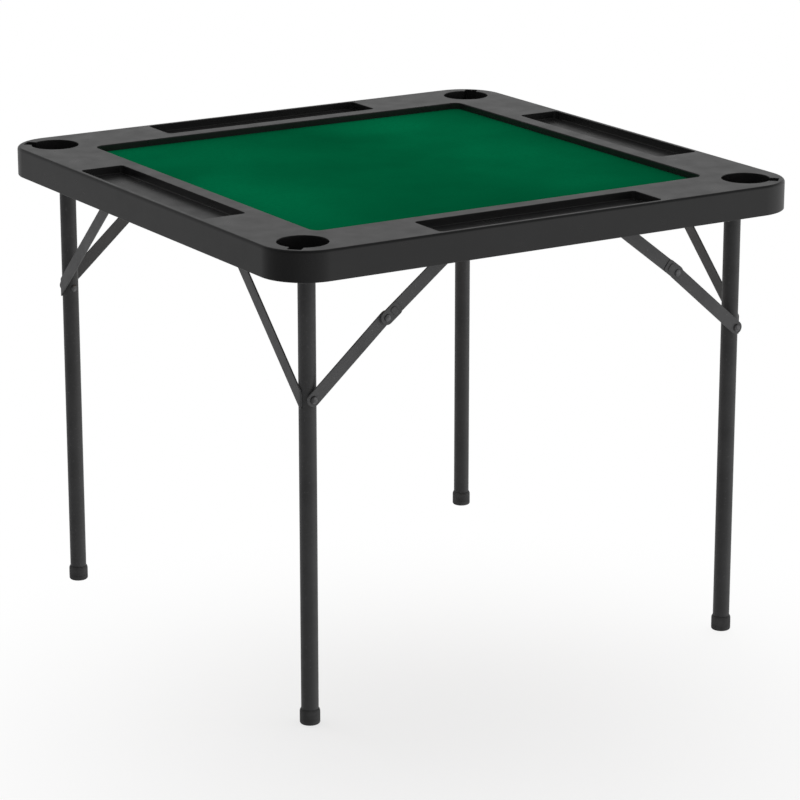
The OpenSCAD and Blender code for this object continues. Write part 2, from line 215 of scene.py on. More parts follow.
def place_on(origin, along, normal):
    """Matrix whose x axis runs along and whose z axis is the normal, at the origin given."""
    z = normal.normalized()
    x = (along - along.dot(z) * z).normalized()
    y = z.cross(x)
    rows = [(x[i], y[i], z[i], origin[i]) for i in range(3)]
    return Matrix((*rows, (0, 0, 0, 1)))


# --- mesh building ---

def add_loft(bm, loops, ring=False):
    """Joins the loops with quads, and closes the ends, or the last loop to the first."""
    rows = [[bm.verts.new(p) for p in loop] for loop in loops]
    count = len(rows[0])
    for a, b in zip(rows, rows[1:] + ([rows[0]] if ring else [])):
        for i in range(count):
            j = (i + 1) % count
            bm.faces.new((a[i], a[j], b[j], b[i]))
    if not ring:
        bm.faces.new(rows[0][::-1])
        bm.faces.new(rows[-1])


def add_turned(bm, origin, axis, profile, ring=False, steps=48):
    """A turned shape: the profile holds (radius, height) along the axis."""
    place = place_on(origin, X if abs(axis.x) < 0.5 else Y, axis)
    add_loft(bm, loops_of(lambda r: disc(r, steps), profile, place), ring)


def add_bar(bm, start, end, normal, thick, width=BAR_W, edge=0.5 * mm):
    """A flat bar with round ends, whose inner face holds start and end."""
    length = (end - start).length
    place = place_on(start, end - start, normal)
    add_loft(bm, loops_of(lambda o: stadium(length, width + 2 * o), slab_profile(thick, edge), place))


def add_dome(bm, origin, axis, radius, height):
    """A domed rivet head with a small upright rim."""
    rim = 0.25 * height
    rise = height - rim
    profile = [(radius, 0)]
    profile += [
        (radius * math.cos(a) + 1e-5, rim + rise * math.sin(a))
        for a in (math.radians(90 * i / 8) for i in range(9))
    ]
    add_turned(bm, origin, axis, profile, steps=32)


def add_post(bm, origin, axis, radius, length, edge=0.3 * mm):
    """A short round post with softened edges."""
    profile = [(radius + o, h) for o, h in slab_profile(length, edge)]
    add_turned(bm, origin, axis, profile, steps=32)


def add_weld(bm, path, radius, ring=True):
    """A rippled bead along a path, which tapers at the ends of an open one."""
    count = len(path)
    loops = []
    for i, p in enumerate(path):
        before = path[i - 1] if ring or i else p
        after = path[(i + 1) % count] if ring or i < count - 1 else p
        ahead = (after - before).normalized()
        across = ahead.cross(Z if abs(ahead.z) < 0.7 else X).normalized()
        up = across.cross(ahead)
        taper = 1 if ring else min(1, 0.3 + min(i, count - 1 - i) / 4)
        ripple = 0.86 + 0.14 * abs(math.sin(i * math.pi / 4)) + 0.1 * noise.noise(p * 400)
        loops.append([p + across * x + up * y for x, y in disc(radius * ripple * taper, 8)])
    add_loft(bm, loops, ring)


def mesh_of(bm, name):
    """The finished mesh, with its normals facing out."""
    bmesh.ops.recalc_face_normals(bm, faces=bm.faces)
    mesh = bpy.data.meshes.new(name)
    bm.to_mesh(mesh)
    bm.free()
    return mesh


def shade(mesh, angle):
    """Smooth shading, sharp where two faces meet at more than the angle in degrees."""
    mesh.shade_smooth()
    mesh.set_sharp_from_angle(angle=math.radians(angle))


def piece(name, mesh, body, slot, nodes=(), angle=35):
    """A finished piece on its body, in its slot's material, standing for the CAD nodes given."""
    shade(mesh, angle)
    mesh.materials.clear()
    mesh.materials.append(MATERIALS[slot])
    obj = link_new(name, mesh)
    even = obj.modifiers.new("even shading", "WEIGHTED_NORMAL")
    even.keep_sharp = True
    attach(obj, body)
    if nodes:
        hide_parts(*nodes)
    return obj


# --- materials ---

class Finish:
    """A material under construction: its shader, and short names for the nodes it uses."""

    def __init__(self, name, roughness, metallic=0.0, specular=0.5):
        self.material = bpy.data.materials.new(name)
        self.material.use_nodes = True
        self.tree = self.material.node_tree
        self.shader = self.tree.nodes["Principled BSDF"]
        self.place = self.tree.nodes.new("ShaderNodeTexCoord").outputs["Object"]
        self.shader.inputs["Roughness"].default_value = roughness
        self.shader.inputs["Metallic"].default_value = metallic
        self.shader.inputs["Specular IOR Level"].default_value = specular

    def node(self, kind, **inputs):
        """A node with its inputs, given by name, set to numbers or linked to sockets."""
        made = self.tree.nodes.new(kind)
        for key, value in inputs.items():
            socket = made.inputs[key.replace("_", " ")]
            if isinstance(value, bpy.types.NodeSocket):
                self.tree.links.new(value, socket)
            else:
                socket.default_value = value
        return made

    def stretched(self, x, y, z):
        """Object coordinates with each axis scaled."""
        return self.node("ShaderNodeMapping", Vector=self.place, Scale=(x, y, z)).outputs["Vector"]

    def noise(self, scale, detail=3.0, place=None):
        made = self.node("ShaderNodeTexNoise", Vector=place or self.place, Scale=scale, Detail=detail)
        return made.outputs["Fac"]

    def cells(self, scale):
        made = self.node("ShaderNodeTexVoronoi", Vector=self.place, Scale=scale)
        return made.outputs["Distance"]

    def span(self, value, low, high, start=0.3, end=0.7, curve="LINEAR"):
        """Maps a value that runs from start to end onto low to high."""
        made = self.node("ShaderNodeMapRange", Value=value)
        made.interpolation_type = curve
        for key, number in zip(("From Min", "From Max", "To Min", "To Max"), (start, end, low, high)):
            made.inputs[key].default_value = number
        return made.outputs["Result"]

    def blend(self, amount, first, second):
        """A colour between two, each a colour or a socket."""
        made = self.tree.nodes.new("ShaderNodeMix")
        made.data_type = "RGBA"
        sockets = [s for s in made.inputs if s.type == "RGBA"]
        self.tree.links.new(amount, made.inputs[0])
        for socket, value in zip(sockets, (first, second)):
            if isinstance(value, bpy.types.NodeSocket):
                self.tree.links.new(value, socket)
            else:
                socket.default_value = (*value, 1)
        return next(s for s in made.outputs if s.type == "RGBA")

    def bump(self, height, distance, strength=1.0, below=None):
        made = self.node("ShaderNodeBump", Height=height, Distance=distance, Strength=strength)
        if below is not None:
            self.tree.links.new(below, made.inputs["Normal"])
        return made.outputs["Normal"]

    def finish(self, colour, normal, roughness=None):
        self.tree.links.new(colour, self.shader.inputs["Base Color"])
        self.tree.links.new(normal, self.shader.inputs["Normal"])
        if roughness is not None:
            self.tree.links.new(roughness, self.shader.inputs["Roughness"])
        return self.material


def grey(value):
    """A grey that leans a little to blue."""
    return (value, value, value * 1.02)


def moulded_plastic():
    """Near-black moulding with a fine leathery grain."""
    f = Finish("moulded plastic", 0.3)
    tone = f.blend(f.span(f.noise(9, 4), 0, 1), grey(0.0090), grey(0.0115))
    speck = f.blend(f.span(f.noise(1500, 2), 0, 0.35), tone, grey(0.018))
    grain = f.bump(f.cells(1400), 0.03 * mm, 0.3)
    wave = f.bump(f.noise(30, 2), 0.08 * mm, 0.2, grain)
    return f.finish(speck, wave, f.span(f.noise(28, 5), 0.27, 0.34))


def felt_cloth():
    """Short pile in brushed lanes and matted clouds, with painted shade darkening it along the front."""
    f = Finish("felt", 0.95, specular=0.0)
    f.shader.inputs["Sheen Weight"].default_value = 0.5
    f.shader.inputs["Sheen Roughness"].default_value = 0.35
    f.shader.inputs["Sheen Tint"].default_value = (0.0, 0.24, 0.09, 1)
    lanes = f.node(
        "ShaderNodeTexWave", Vector=f.place, Scale=0.7, Distortion=2.0,
        Detail=2.0, Detail_Scale=4.0, Phase_Offset=0.35,
    ).outputs["Fac"]
    clouds = f.span(f.noise(5.5, 3), 0, 1, 0.36, 0.64)
    brushed_down = f.blend(clouds, (0.0002, 0.034, 0.012), (0.0003, 0.062, 0.023))
    brushed_up = f.blend(clouds, (0.0004, 0.066, 0.025), (0.0006, 0.100, 0.039))
    brushed = f.blend(lanes, brushed_down, brushed_up)
    # painted shade: a darker green is blended in towards the front edge, standing in for light falling off there
    along_y = f.node("ShaderNodeSeparateXYZ", Vector=f.place).outputs["Y"]
    painted_front_shade = f.span(along_y, 0.45, 0, -0.31, -0.08)
    base = f.blend(painted_front_shade, brushed, (0.0002, 0.030, 0.011))
    matted = f.blend(f.span(f.noise(160, 4), 0, 0.45), base, (0.0003, 0.048, 0.018))
    fibres = f.blend(f.span(f.noise(1900, 2), 0, 0.35), matted, (0.0006, 0.092, 0.037))
    nap = f.bump(f.noise(1300, 3), 0.2 * mm, 0.6)
    soft = f.bump(f.noise(120, 3), 0.15 * mm, 0.4, nap)
    return f.finish(fibres, soft)


def fibreboard():
    """Pressed wood fibre, seen only from below."""
    f = Finish("fibreboard", 0.8, specular=0.3)
    flakes = f.blend(f.span(f.cells(260), 0, 1, 0.1, 0.7), (0.33, 0.21, 0.11), (0.22, 0.13, 0.065))
    dust = f.blend(f.span(f.noise(900, 3), 0, 0.4), flakes, (0.42, 0.30, 0.18))
    return f.finish(dust, f.bump(f.noise(420, 4), 0.12 * mm, 0.6))


def powder_coat(name, dark, light, roughness):
    """Satin powder coat with orange peel, a faint wave in the surface and a few rubbed specks."""
    f = Finish(name, roughness)
    tone = f.blend(f.span(f.noise(22, 4), 0, 1), grey(dark), grey(light))
    rubbed = f.blend(f.span(f.noise(340, 6), 0, 0.5, 0.62, 0.74), tone, grey(light * 2.4))
    peel = f.bump(f.noise(620, 2), 0.05 * mm, 0.55)
    wave = f.bump(f.noise(90, 2), 0.06 * mm, 0.3, peel)
    return f.finish(rubbed, wave, f.span(f.noise(60, 4), roughness - 0.05, roughness + 0.08))


def rubber():
    """Matt rubber with a dusty bloom."""
    f = Finish("rubber", 0.6, specular=0.5)
    bloom = f.blend(f.span(f.noise(75, 5), 0, 1, 0.4, 0.75), grey(0.030), grey(0.050))
    return f.finish(bloom, f.bump(f.noise(900, 3), 0.06 * mm, 0.6), f.span(f.noise(140, 3), 0.50, 0.68))


def dark_zinc():
    """Dark plated steel with turning marks."""
    f = Finish("dark zinc", 0.35, metallic=0.9)
    tarnish = f.blend(f.span(f.noise(210, 5), 0, 1), grey(0.11), grey(0.22))
    marks = f.bump(f.noise(1500, 2, f.stretched(1, 0.08, 1)), 0.03 * mm, 0.5)
    return f.finish(tarnish, marks, f.span(f.noise(400, 3), 0.30, 0.48))


# --- the moulded rim ---

def tool_object(loops):
    """A closed solid as a loose object, for one boolean."""
    bm = bmesh.new()
    add_loft(bm, loops)
    return link_new("tool", mesh_of(bm, "tool"))


def carve(target, how, loops):
    """Joins a solid to the target or cuts it away, and applies the result."""
    tool = tool_object(loops)
    step = target.modifiers.new("step", "BOOLEAN")
    step.operation = how
    step.solver = "MANIFOLD"
    step.object = tool
    graph = bpy.context.evaluated_depsgraph_get()
    made = bpy.data.meshes.new_from_object(target.evaluated_get(graph))
    target.modifiers.clear()
    old, target.data = target.data, made
    bpy.data.meshes.remove(old)
    tool_mesh = tool.data
    bpy.data.objects.remove(tool)
    bpy.data.meshes.remove(tool_mesh)


def pocket_profile(floor_z, flare, cove, draft, wall):
    """Profile of a pocket's cutter: rounded mouth, leaning wall and coved floor."""
    mouth = [(wall + flare, TOP_Z + 2 * mm)] + arc(wall + flare, TOP_Z - flare, flare, 90, 180, 5)
    floor = arc(wall - draft - cove, floor_z + cove, cove, 0, -90, 5)
    return mouth + floor


def square_loops(width, radius, low, high):
    """Loops of an upright square block round the table's middle."""
    profile = [(0, low), (0, high)]
    return loops_of(lambda o: rounded_rect(width + 2 * o, width + 2 * o, radius + o), profile)


def quarter_turns():
    return [Matrix.Rotation(math.radians(90 * i), 4, "Z") for i in range(4)]


def skirt_middle(x):
    """Distance from the table's middle to the middle of the skirt's wall, at x along a side."""
    corner = TOP_W / 2 - CORNER_R
    wall = CORNER_R - SKIN / 2
    return corner + (math.sqrt(wall ** 2 - (x - corner) ** 2) if x > corner else wall)


def felt_outline(o):
    return rounded_rect(FELT_W + 2 * o, FELT_W + 2 * o, FELT_R + o)


def tray_outline(o):
    return rounded_rect(TRAY_L + 2 * o, TRAY_W + 2 * o, TRAY_R + o, 8)


def tray_box(o):
    """The tray's walls and floor, which reach out into the skirt."""
    reach = TOP_W / 2 - SKIN / 2 - TRAY_IN - TRAY_W
    return [(x, y - reach + o if y < 0 else y) for x, y in tray_outline(o)]


def cup_outline(o):
    return disc(CUP_R + o, 72)


def notch_outline(o):
    return rounded_rect(2 * (CUP_R + NOTCH_L + o), NOTCH_W + 2 * o, 3 * mm + o, 6)


def half_notch(o):
    """The notch from the cup's middle outward."""
    return [(max(x, 0.0), y) for x, y in notch_outline(o)]


def slab_loops():
    """Loops of the rim's outside, solid: a softened lower edge and a rounded upper one."""
    round_low = 0.9 * mm
    profile = arc(-round_low, SKIRT_Z + round_low, round_low, -90, 0, 3)
    profile += arc(-EDGE_R, TOP_Z - EDGE_R, EDGE_R, 0, 90, 10)
    return loops_of(lambda o: rounded_rect(TOP_W + 2 * o, TOP_W + 2 * o, CORNER_R + o, 28), profile)


def rim_places():
    """Where a tray, a cup and its notch lie: on the front side and at its left corner."""
    tray_at = Matrix.Translation((0, -TRAY_IN - TRAY_W / 2, 0))
    cup_at = Matrix.Translation((-CUP_AT, -CUP_AT, 0))
    return tray_at, cup_at, cup_at @ Matrix.Rotation(math.radians(225), 4, "Z")


def add_pocket_walls(rim, turn, under):
    """Walls and floors of one side's tray, cup well and notch."""
    tray_at, cup_at, notch_at = rim_places()
    walls = (
        (tray_box, tray_at, TRAY_H + SKIN, SKIN),
        (cup_outline, cup_at, CUP_H + CUP_FLOOR_T, SKIN),
        (half_notch, notch_at, NOTCH_H + SKIN, 0.8 * SKIN),
    )
    for outline, at, depth, grow in walls:
        carve(rim, "UNION", loops_of(outline, [(grow, TOP_Z - depth), (grow, under)], turn @ at))


def add_ribs(rim, turn, under):
    """One side's ribs between the recess and the skirt."""
    rib_in = FELT_W / 2 + SKIN / 2
    for place in RIB_PLACES:
        rib_out = skirt_middle(place)

        def outline(o):
            return rounded_rect(RIB_T, rib_out - rib_in, 0.4 * mm, 2)

        for sign in (-1, 1):
            middle = Matrix.Translation((sign * place, -(rib_in + rib_out) / 2, 0))
            carve(rim, "UNION", loops_of(outline, [(0, TOP_Z - RIB_DROP), (0, under)], turn @ middle))


def add_screw_bosses(rim, under):
    rail_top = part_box("rail_front")[1].z
    screw_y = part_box("rail_screws")[1].y - SCREW_HEAD_R
    for x in BOSS_PLACES:
        for sign in (-1, 1):
            at = Matrix.Translation((x, sign * screw_y, 0))
            carve(rim, "UNION", loops_of(lambda o: disc(BOSS_R, 24), [(0, rail_top), (0, under)], at))


def cut_recess(rim):
    """The felt's recess, the ledge that holds the board, and the open underside inside it."""
    ledge_z = TOP_Z - LEDGE_DROP
    low = TOP_Z - RIB_DROP - SKIN
    carve(rim, "DIFFERENCE", loops_of(felt_outline, pocket_profile(ledge_z, 1.4 * mm, 0.8 * mm, 0, 0)))
    carve(rim, "DIFFERENCE", square_loops(FELT_W, FELT_R, low, ledge_z - SKIN))
    carve(rim, "DIFFERENCE", square_loops(FELT_W - 2 * LEDGE_W, FELT_R / 2, low, TOP_Z))


def cut_pockets(rim, turn):
    """One side's tray, cup well and notch."""
    tray_at, cup_at, notch_at = rim_places()
    cuts = (
        (tray_outline, tray_at, (TOP_Z - TRAY_H, 0.8 * mm, 1.2 * mm, 0.3 * mm, -0.8 * mm)),
        (cup_outline, cup_at, (TOP_Z - CUP_H, 1.0 * mm, 3 * mm, 0.6 * mm, -1.0 * mm)),
        (half_notch, notch_at, (TOP_Z - NOTCH_H, 0.8 * mm, 1.5 * mm, 0.3 * mm, -0.8 * mm)),
    )
    for outline, at, shape in cuts:
        carve(rim, "DIFFERENCE", loops_of(outline, pocket_profile(*shape), turn @ at))


def rim_mesh():
    """Skin, skirt and ribs of the moulding, with its trays, cup wells and felt recess."""
    under = TOP_Z - SKIN / 2
    bm = bmesh.new()
    add_loft(bm, slab_loops())
    rim = link_new("rim", mesh_of(bm, "rim"))
    hollow = square_loops(TOP_W - 2 * SKIN, CORNER_R - SKIN, SKIRT_Z - SKIN, TOP_Z - SKIN)
    carve(rim, "DIFFERENCE", hollow)
    collar = square_loops(FELT_W + 2 * SKIN, FELT_R + SKIN, TOP_Z - RIB_DROP, under)
    carve(rim, "UNION", collar)
    for turn in quarter_turns():
        add_pocket_walls(rim, turn, under)
        add_ribs(rim, turn, under)
    add_screw_bosses(rim, under)
    cut_recess(rim)
    for turn in quarter_turns():
        cut_pockets(rim, turn)
    mesh = rim.data
    bpy.data.objects.remove(rim)
    return mesh


# --- felt ---

def felt_mesh():
    """The cloth laid flat on the board: rounded cut edge and a barely uneven nap."""
    low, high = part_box("felt_cloth")
    width = high.x - low.x
    cut_r = FELT_R - 0.5 * mm
    round_r = (high.z - low.z) / 2
    edge = arc(-round_r, low.z + round_r, round_r, -90, 90, 6)
    insets = [2, 5, 10, 18, 30, 45, 65, 90, 120, 155, 195, 240, 285, 315]

    def outline(o):
        return rounded_rect(width + 2 * o, width + 2 * o, max(cut_r + o, 2 * mm), 16)

    loops = loops_of(outline, edge + [(-i * mm, high.z) for i in insets])
    for loop in loops[len(edge):]:
        for p in loop:
            p.z -= 0.12 * mm * (0.5 + 0.5 * noise.noise(p * 22))
    bm = bmesh.new()
    add_loft(bm, loops)
    return mesh_of(bm, "felt"), width


# --- leg frames ---

def leg_axis(side, end):
    """A leg's middle on the floor, and the heights of its ends."""
    low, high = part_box(f"leg_{side}_{end}")
    return Vector(((low.x + high.x) / 2, (low.y + high.y) / 2, 0)), low.z, high.z


def tube_profile(low, high):
    """Wall of a tube with softened ends, as (radius, height) points of a closed ring."""
    inner, soft = TUBE_R - TUBE_T, 0.4 * mm
    return [
        (inner, low), (TUBE_R, low), (TUBE_R, high - soft),
        (TUBE_R - soft, high), (inner + soft, high), (inner, high - soft),
    ]


def leg_mesh(side, end):
    axis, low, high = leg_axis(side, end)
    bm = bmesh.new()
    add_turned(bm, axis, Z, tube_profile(low, high), ring=True, steps=64)
    return mesh_of(bm, "leg")


def crossbar_middle(side):
    low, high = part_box(f"crossbar_{side}")
    return (low + high) / 2


def crossbar_mesh(side):
    """A tube whose ends are cut to saddle the legs."""
    axis, _, _ = leg_axis(side, "rear")
    middle = crossbar_middle(side)
    saddle = TUBE_R + WELD_GAP

    def loop(radius, sign):
        points = []
        for x, z in disc(radius, 64):
            y = axis.y - math.sqrt(max(saddle ** 2 - x ** 2, 0))
            points.append(Vector((middle.x + x, sign * y, middle.z + z)))
        return points

    inner = TUBE_R - TUBE_T
    bm = bmesh.new()
    add_loft(bm, [loop(TUBE_R, -1), loop(TUBE_R, 1), loop(inner, 1), loop(inner, -1)], ring=True)
    return mesh_of(bm, "crossbar")


def crossbar_weld(side, end):
    """Bead round the joint of the crossbar and a leg."""
    axis, _, leg_top = leg_axis(side, end)
    middle = crossbar_middle(side)
    path = []
    for x, z in disc(TUBE_R, 96):
        y = abs(axis.y) - math.sqrt(max((TUBE_R + 0.5 * mm) ** 2 - x ** 2, 0))
        height = min(middle.z + z, leg_top - 1 * mm)
        path.append(Vector((middle.x + x * 1.02, OUTWARD[end] * y, height)))
    bm = bmesh.new()
    add_weld(bm, path, 1.6 * mm)
    return mesh_of(bm, "weld")


def foot_mesh(side, end):
    """Rubber cap with a sloped shoulder, a shallow mould line and a rounded tread."""
    axis, _, _ = leg_axis(side, end)
    low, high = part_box(f"foot_{side}_{end}")
    radius = (high.x - low.x) / 2
    top = high.z
    inner = TUBE_R + 0.02 * mm
    tread_r = 3 * mm
    line = 0.25 * mm
    floor = 3 * mm
    profile = [(inner - 0.4 * mm, floor), (inner, floor + 0.4 * mm), (inner, top - 0.3 * mm)]
    profile += [(inner + 0.3 * mm, top), (inner + 0.9 * mm, top - 0.3 * mm)]
    profile += [(radius - 0.35 * mm, top - 2.2 * mm), (radius - 0.1 * mm, top - 3.4 * mm)]
    profile += [(radius, top - 5 * mm), (radius, 8.3 * mm), (radius - line, 8 * mm), (radius, 7.7 * mm)]
    profile += arc(radius - tread_r, tread_r, tread_r, 0, -90, 6)
    profile += [(radius * 0.55, 0), (radius * 0.5, 0.5 * mm), (0.5 * mm, 0.5 * mm), (0.5 * mm, floor)]
    bm = bmesh.new()
    add_turned(bm, axis, Z, profile, ring=True, steps=64)
    return mesh_of(bm, "foot")


def strut_span(side):
    """Rise and run of a strut's centre line, from the leg to the crossbar."""
    rise = JOINTS[f"{side}_fold"].z - STRUT_Z
    return rise, rise / STRUT_SLOPE


def strut_edges(side, y):
    """Heights of a strut's lower and upper edge at y inward from its leg."""
    rise, run = strut_span(side)
    turn = math.atan2(rise, run)
    half = BAR_W / 2
    line = STRUT_Z + y * STRUT_SLOPE
    cap = math.sqrt(max(half ** 2 - (y - run) ** 2, 0))
    past_low, past_high = run + half * math.sin(turn), run - half * math.sin(turn)
    low = line - half / math.cos(turn) if y < past_low else STRUT_Z + rise - cap
    high = line + half / math.cos(turn) if y < past_high else STRUT_Z + rise + cap
    return low, high


def strut_point(side, end, along, out, height):
    """A point of a strut: along it inward from the leg, and out from the leg's surface."""
    axis, _, _ = leg_axis(side, end)
    radius = TUBE_R + WELD_GAP + out
    angle = min(along, 0) / (TUBE_R + BAR_T / 2)
    inward = max(along, 0) + radius * math.sin(angle)
    x = axis.x - INWARD[side] * radius * math.cos(angle)
    return Vector((x, axis.y - OUTWARD[end] * inward, height))


def strut_mesh(side, end):
    """A flat bar across the outer faces of a leg and its crossbar, its foot formed round the leg."""
    rise, run = strut_span(side)
    wrap = math.radians(STRUT_WRAP) * (TUBE_R + BAR_T / 2)
    soft = 0.5 * mm
    straight = run * 0.95
    rest = run + BAR_W / 2 - straight
    stations = [-wrap * (1 - i / 8) for i in range(8)]
    stations += [straight * i / 40 for i in range(40)]
    stations += [straight + rest * math.sin(math.radians(90 * i / 16)) for i in range(17)]
    loops = []
    for i, along in enumerate(stations):
        low, high = strut_edges(side, along)
        round_r = min(soft, (high - low) / 2.2 + 1e-6)
        trim = soft if i in (0, len(stations) - 1) else 0
        tall = max(high - low - trim, 3e-6)
        section = rounded_rect(BAR_T - 1.2 * trim, tall, round_r / (1 + trim / soft), 2)
        middle = (low + high) / 2
        loops.append([strut_point(side, end, along, BAR_T / 2 + d, middle + h) for d, h in section])
    bm = bmesh.new()
    add_loft(bm, loops)
    return mesh_of(bm, "strut")


def strut_welds_mesh(side):
    """Short beads at both ends of the side's struts."""
    rise, run = strut_span(side)
    foot = -math.radians(STRUT_WRAP) * (TUBE_R + BAR_T / 2)
    low, high = strut_edges(side, foot)
    bm = bmesh.new()
    for end in ENDS:
        heights = [low + 4 * mm + (high - low - 8 * mm) * i / 32 for i in range(33)]
        add_weld(bm, [strut_point(side, end, foot, 0.2 * mm, h) for h in heights], 1.0 * mm, ring=False)
        turns = [math.radians(-34 + 68 * i / 24) for i in range(25)]
        reach = BAR_W / 2 + 0.3 * mm
        tip = [(run + reach * math.cos(a), STRUT_Z + rise + reach * math.sin(a)) for a in turns]
        add_weld(bm, [strut_point(side, end, y, 0, z) for y, z in tip], 1.2 * mm, ring=False)
    return mesh_of(bm, "strut welds")


def y_span(node):
    """How far a node's nearer and farther face lie from the plane y = 0."""
    low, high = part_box(node)
    return sorted((abs(low.y), abs(high.y)))


def leg_rivets_mesh(side):
    """Rivets that carry the folding braces: inner head, spacer and domed outer head."""
    bm = bmesh.new()
    for end in ENDS:
        pivot = JOINTS[f"lower_pivot_{side}_{end}"]
        near, far = y_span(f"lower_link_{side}_{end}")
        out = Y * OUTWARD[end]
        axis, _, _ = leg_axis(side, end)
        leg_y = abs(axis.y)
        spacer_y = leg_y + TUBE_R * 0.75

        def at(y):
            return Vector((pivot.x, OUTWARD[end] * y, pivot.z))

        add_dome(bm, at(leg_y - TUBE_R + 0.2 * mm), -out, HEAD_R, 2 * mm)
        add_post(bm, at(spacer_y), out, HEAD_R, near - spacer_y - 0.15 * mm)
        add_post(bm, at(near - 1 * mm), out, PIN_R, far - near + 1.5 * mm)
        add_dome(bm, at(far + 0.3 * mm), out, RIVET_HEAD_R, RIVET_HEAD_H)
    return mesh_of(bm, "leg rivets")


# --- folding braces ---

def knee_of(side, end):
    low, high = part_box(f"knee_rivet_{side}_{end}")
    return (low + high) / 2


def link_mesh(side, end, kind):
    """One flat link, from its pivot on the leg or the rail to the knee."""
    pivot = JOINTS[f"{kind}_pivot_{side}_{end}"]
    knee = knee_of(side, end)
    near, far = y_span(f"{kind}_link_{side}_{end}")
    y = near * OUTWARD[end]
    bm = bmesh.new()
    start, stop = Vector((pivot.x, y, pivot.z)), Vector((knee.x, y, knee.z))
    add_bar(bm, start, stop, Y * OUTWARD[end], far - near)
    return mesh_of(bm, "link")


def plate_outline(o):
    """The stop plate: a round end about the knee, and an upper end with rounded corners."""
    half = PLATE_W / 2 + o
    corner = PLATE_R + o
    past = PLATE_FORE - PLATE_R
    points = []
    arcs = ((0, 0, half, 90), (0, 0, half, 180), (past, -1, corner, 270), (past, 1, corner, 0))
    for x, sign, radius, start in arcs:
        for i in range(9):
            a = math.radians(start + 90 * i / 8)
            y = sign * (half - corner)
            points.append((x + radius * math.cos(a), y + radius * math.sin(a)))
    return points


def knee_plate_mesh(side, end):
    """Stamped stop plate over the knee, with a pad pressed out of it."""
    knee = knee_of(side, end)
    pin = JOINTS[f"upper_pivot_{side}_{end}"]
    out = Y * OUTWARD[end]
    base = y_span(f"upper_link_{side}_{end}")[1] * OUTWARD[end]
    centre = Vector((knee.x, base, knee.z))
    along = (Vector((pin.x, base, pin.z)) - centre).normalized()
    bm = bmesh.new()
    place = place_on(centre, along, out)
    add_loft(bm, loops_of(plate_outline, slab_profile(PLATE_T, 0.35 * mm), place))
    pad_at = place_on(centre + along * 14.5 * mm + out * (PLATE_T - 0.3 * mm), along, out)
    rise = [(0.9, 0), (0.7, 0.4), (0.2, 1.3), (-0.4, 1.6), (-1.4, 1.65)]

    def pad(o):
        return rounded_rect(9 * mm + 2 * o, 12 * mm + 2 * o, 3 * mm + o, 6)

    add_loft(bm, loops_of(pad, [(o * mm, h * mm) for o, h in rise], pad_at))
    return mesh_of(bm, "knee plate")


def knee_dome_mesh(side, end):
    """Domed outer head of the knee rivet, and its shank through the upper link."""
    knee = knee_of(side, end)
    out = Y * OUTWARD[end]
    plate = Vector((knee.x, y_span(f"upper_link_{side}_{end}")[1] * OUTWARD[end], knee.z))
    bm = bmesh.new()
    add_post(bm, plate - out * 2.3 * mm, out, PIN_R, 3 * mm)
    add_dome(bm, plate + out * PLATE_T, out, 5.4 * mm, INNER_HEAD_H)
    return mesh_of(bm, "knee dome")


def knee_rivet_mesh(side, end):
    """Inner head and shank of the knee rivet, on the lower link."""
    knee = knee_of(side, end)
    near, far = y_span(f"lower_link_{side}_{end}")
    out = Y * OUTWARD[end]
    bm = bmesh.new()
    add_dome(bm, Vector((knee.x, OUTWARD[end] * near, knee.z)), -out, HEAD_R, INNER_HEAD_H)
    shank = Vector((knee.x, OUTWARD[end] * (near - 0.5 * mm), knee.z))
    add_post(bm, shank, out, PIN_R, far - near + 0.4 * mm)
    return mesh_of(bm, "knee rivet")


# --- stage ---

def make_floor():
    """A pale floor painted with a white glow that turns into the white backdrop away from the table, and with
    painted shade in a patch near it.
    """
    bm = bmesh.new()
    radii = (14.0, 8.0, 4.0, 2.0, 1.0, 0.4)
    steps = 96
    rows = [[bm.verts.new((x, y, 0)) for x, y in disc(r, steps)] for r in radii]
    for a, b in zip(rows, rows[1:]):
        for i in range(steps):
            j = (i + 1) % steps
            bm.faces.new((a[i], a[j], b[j], b[i]))
    bm.faces.new(rows[-1])
    f = Finish("floor", 0.9, specular=0.1)
    f.shader.inputs["Base Color"].default_value = (0.9, 0.9, 0.9, 1)
    away = f.node("ShaderNodeVectorMath", Vector=f.place)
    away.operation = "DISTANCE"
    away.inputs[1].default_value = FLOOR_PAINTED_SHADE_AT
    # painted shade: the floor's painted glow is weaker in a patch near the table, leaving a painted shadow there;
    # further out the floor glows as white as the backdrop
    painted_shade_fade = f.span(away.outputs["Value"], FLOOR_PAINTED_GLOW, 1, *FLOOR_PAINTED_SHADE_FADE, "SMOOTHSTEP")
    painted_glow = f.node("ShaderNodeEmission", Color=(1, 1, 1, 1), Strength=1.0)
    mix = f.node("ShaderNodeMixShader", Fac=painted_shade_fade)
    f.tree.links.new(f.shader.outputs["BSDF"], mix.inputs[1])
    f.tree.links.new(painted_glow.outputs["Emission"], mix.inputs[2])
    f.tree.links.new(mix.outputs["Shader"], f.tree.nodes["Material Output"].inputs["Surface"])
    mesh = mesh_of(bm, "floor")
    mesh.materials.append(f.material)
    floor = link_new("floor", mesh)
    floor.visible_glossy = False


def ramp(tree, value, stops):
    """A value mapped through (input, output) stops."""
    curve = tree.nodes.new("ShaderNodeFloatCurve")
    points = curve.mapping.curves[0].points
    for i, (at, level) in enumerate(stops):
        point = points[i] if i < 2 else points.new(at, level)
        point.location = (at, level)
    for point in points:
        point.handle_type = "AUTO_CLAMPED"
    curve.mapping.update()
    tree.links.new(value, curve.inputs["Value"])
    return curve.outputs["Value"]


def maths(tree, operation, first, second=0.0):
    """One Math node, whose inputs are sockets or numbers."""
    made = tree.nodes.new("ShaderNodeMath")
    made.operation = operation
    for socket, value in zip(made.inputs, (first, second)):
        if isinstance(value, bpy.types.NodeSocket):
            tree.links.new(value, socket)
        else:
            socket.default_value = value
    return made.outputs[0]


